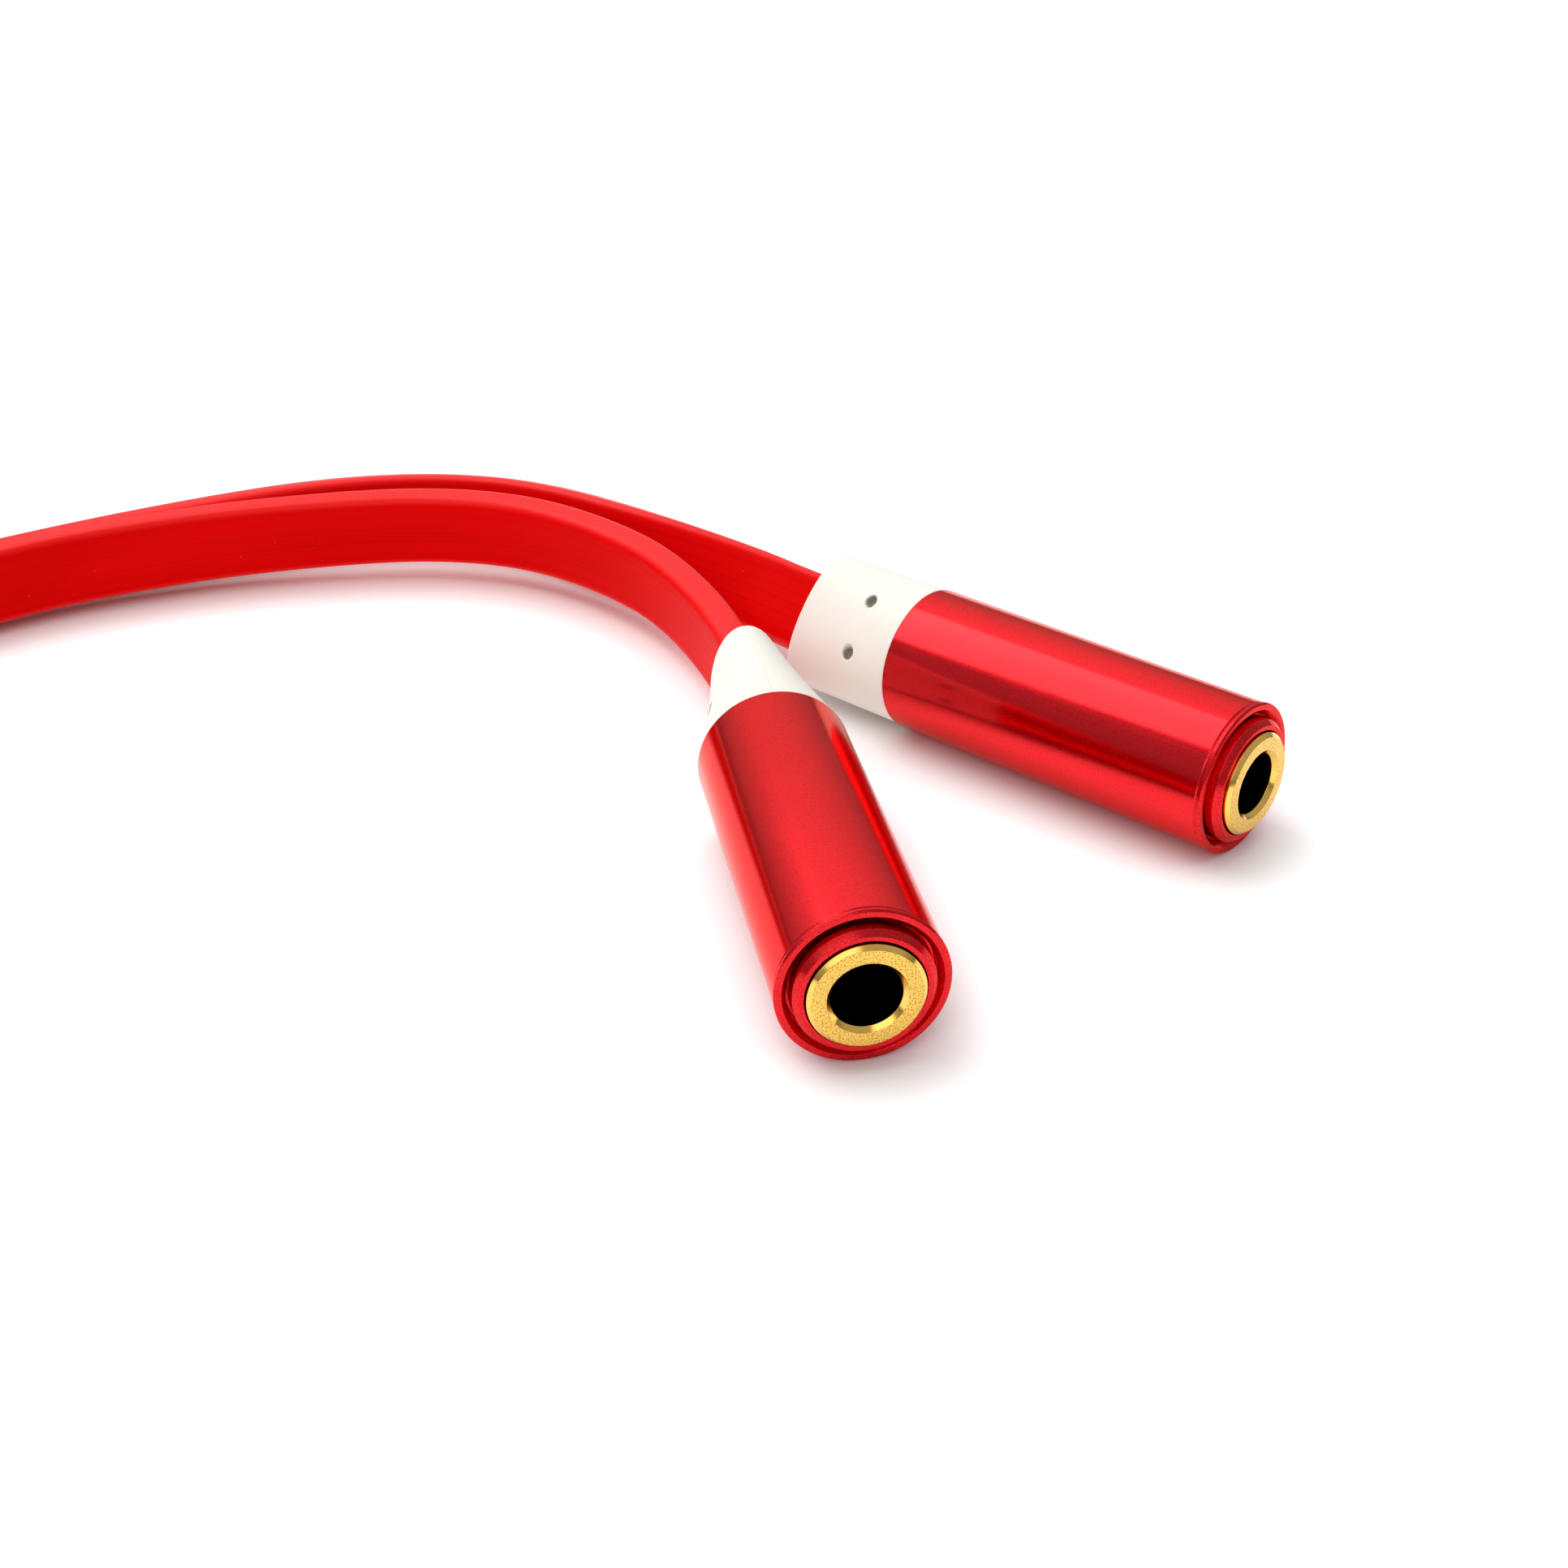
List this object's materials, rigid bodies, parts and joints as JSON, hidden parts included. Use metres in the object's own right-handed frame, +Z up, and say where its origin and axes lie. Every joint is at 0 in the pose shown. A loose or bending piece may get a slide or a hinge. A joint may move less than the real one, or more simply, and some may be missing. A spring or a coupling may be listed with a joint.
{
  "type": "audio splitter cable",
  "caption": "Short stereo splitter lead: a 3.5 mm plug, flat cords lying side by side on edge, and in-line 3.5 mm sockets with barrel housings and tapered boots.",
  "frame": {"origin": "on the table, under the middle of the box round the two sockets", "axes": "+Z up, -Y is the way socket A faces, apart from its tilt of under one degree"},
  "size_m": [0.1048, 0.0848, 0.0089],
  "materials": {
    "red_anodised": "satin red anodised aluminium",
    "gold": "gold-plated brass, lightly brushed",
    "boot_white": "matte off-white elastomer",
    "cord_red": "satin red flexible PVC",
    "carrier_black": "moulded black nylon",
    "spring_bronze": "phosphor bronze strip",
    "mould_natural": "translucent polyethylene potting",
    "wire_white": "white wire insulation",
    "wire_red": "red wire insulation",
    "wire_copper": "bare twisted copper",
    "pin_insulator": "black insulating plastic"
  },
  "bodies": {
    "root": {"socket_a_shell": "red_anodised", "socket_a_bush": "gold", "socket_a_boot": "boot_white", "socket_a_carrier": "carrier_black", "socket_a_ground_lug": "spring_bronze", "socket_a_inner_mould": "mould_natural", "socket_a_tip_wire": "wire_white", "socket_a_ring_wire": "wire_red", "socket_a_ground_wire": "wire_copper", "socket_b_shell": "red_anodised", "socket_b_bush": "gold", "socket_b_boot": "boot_white", "socket_b_carrier": "carrier_black", "socket_b_ground_lug": "spring_bronze", "socket_b_inner_mould": "mould_natural", "socket_b_tip_wire": "wire_white", "socket_b_ring_wire": "wire_red", "socket_b_ground_wire": "wire_copper", "plug_tip": "gold", "plug_ring": "gold", "plug_sleeve": "gold", "plug_tip_insulator": "pin_insulator", "plug_ring_insulator": "pin_insulator", "plug_shell": "red_anodised", "plug_boot": "boot_white", "plug_inner_mould": "mould_natural", "plug_tip_wire_a": "wire_white", "plug_ring_wire_a": "wire_red", "plug_ground_wire_a": "wire_copper", "cord_a": "cord_red", "plug_tip_wire_b": "wire_white", "plug_ring_wire_b": "wire_red", "plug_ground_wire_b": "wire_copper", "cord_b": "cord_red"},
    "socket_a_tip_spring": {"socket_a_tip_spring": "spring_bronze"},
    "socket_a_ring_spring": {"socket_a_ring_spring": "spring_bronze"},
    "socket_b_tip_spring": {"socket_b_tip_spring": "spring_bronze"},
    "socket_b_ring_spring": {"socket_b_ring_spring": "spring_bronze"}
  },
  "joints": [
    {"name": "socket_a_tip_spring_flex", "type": "hinge", "parent": "root", "child": "socket_a_tip_spring", "pos_m": [-0.01198, -0.0043, 0.00169], "axis": [1, 0, 0], "range_deg": [0, 5], "stiffness_Nm_per_rad": 0.3},
    {"name": "socket_a_ring_spring_flex", "type": "hinge", "parent": "root", "child": "socket_a_ring_spring", "pos_m": [-0.01198, -0.00428, 0.00714], "axis": [-1, 0, 0], "range_deg": [0, 3], "stiffness_Nm_per_rad": 0.5},
    {"name": "socket_b_tip_spring_flex", "type": "hinge", "parent": "root", "child": "socket_b_tip_spring", "pos_m": [0.00472, 0.00792, 0.0065], "axis": [-0.6131, -0.4593, 0.6428], "range_deg": [0, 5], "stiffness_Nm_per_rad": 0.3},
    {"name": "socket_b_ring_spring_flex", "type": "hinge", "parent": "root", "child": "socket_b_ring_spring", "pos_m": [0.00192, 0.00581, 0.00233], "axis": [0.6131, 0.4593, -0.6428], "range_deg": [0, 3], "stiffness_Nm_per_rad": 0.5}
  ]
}
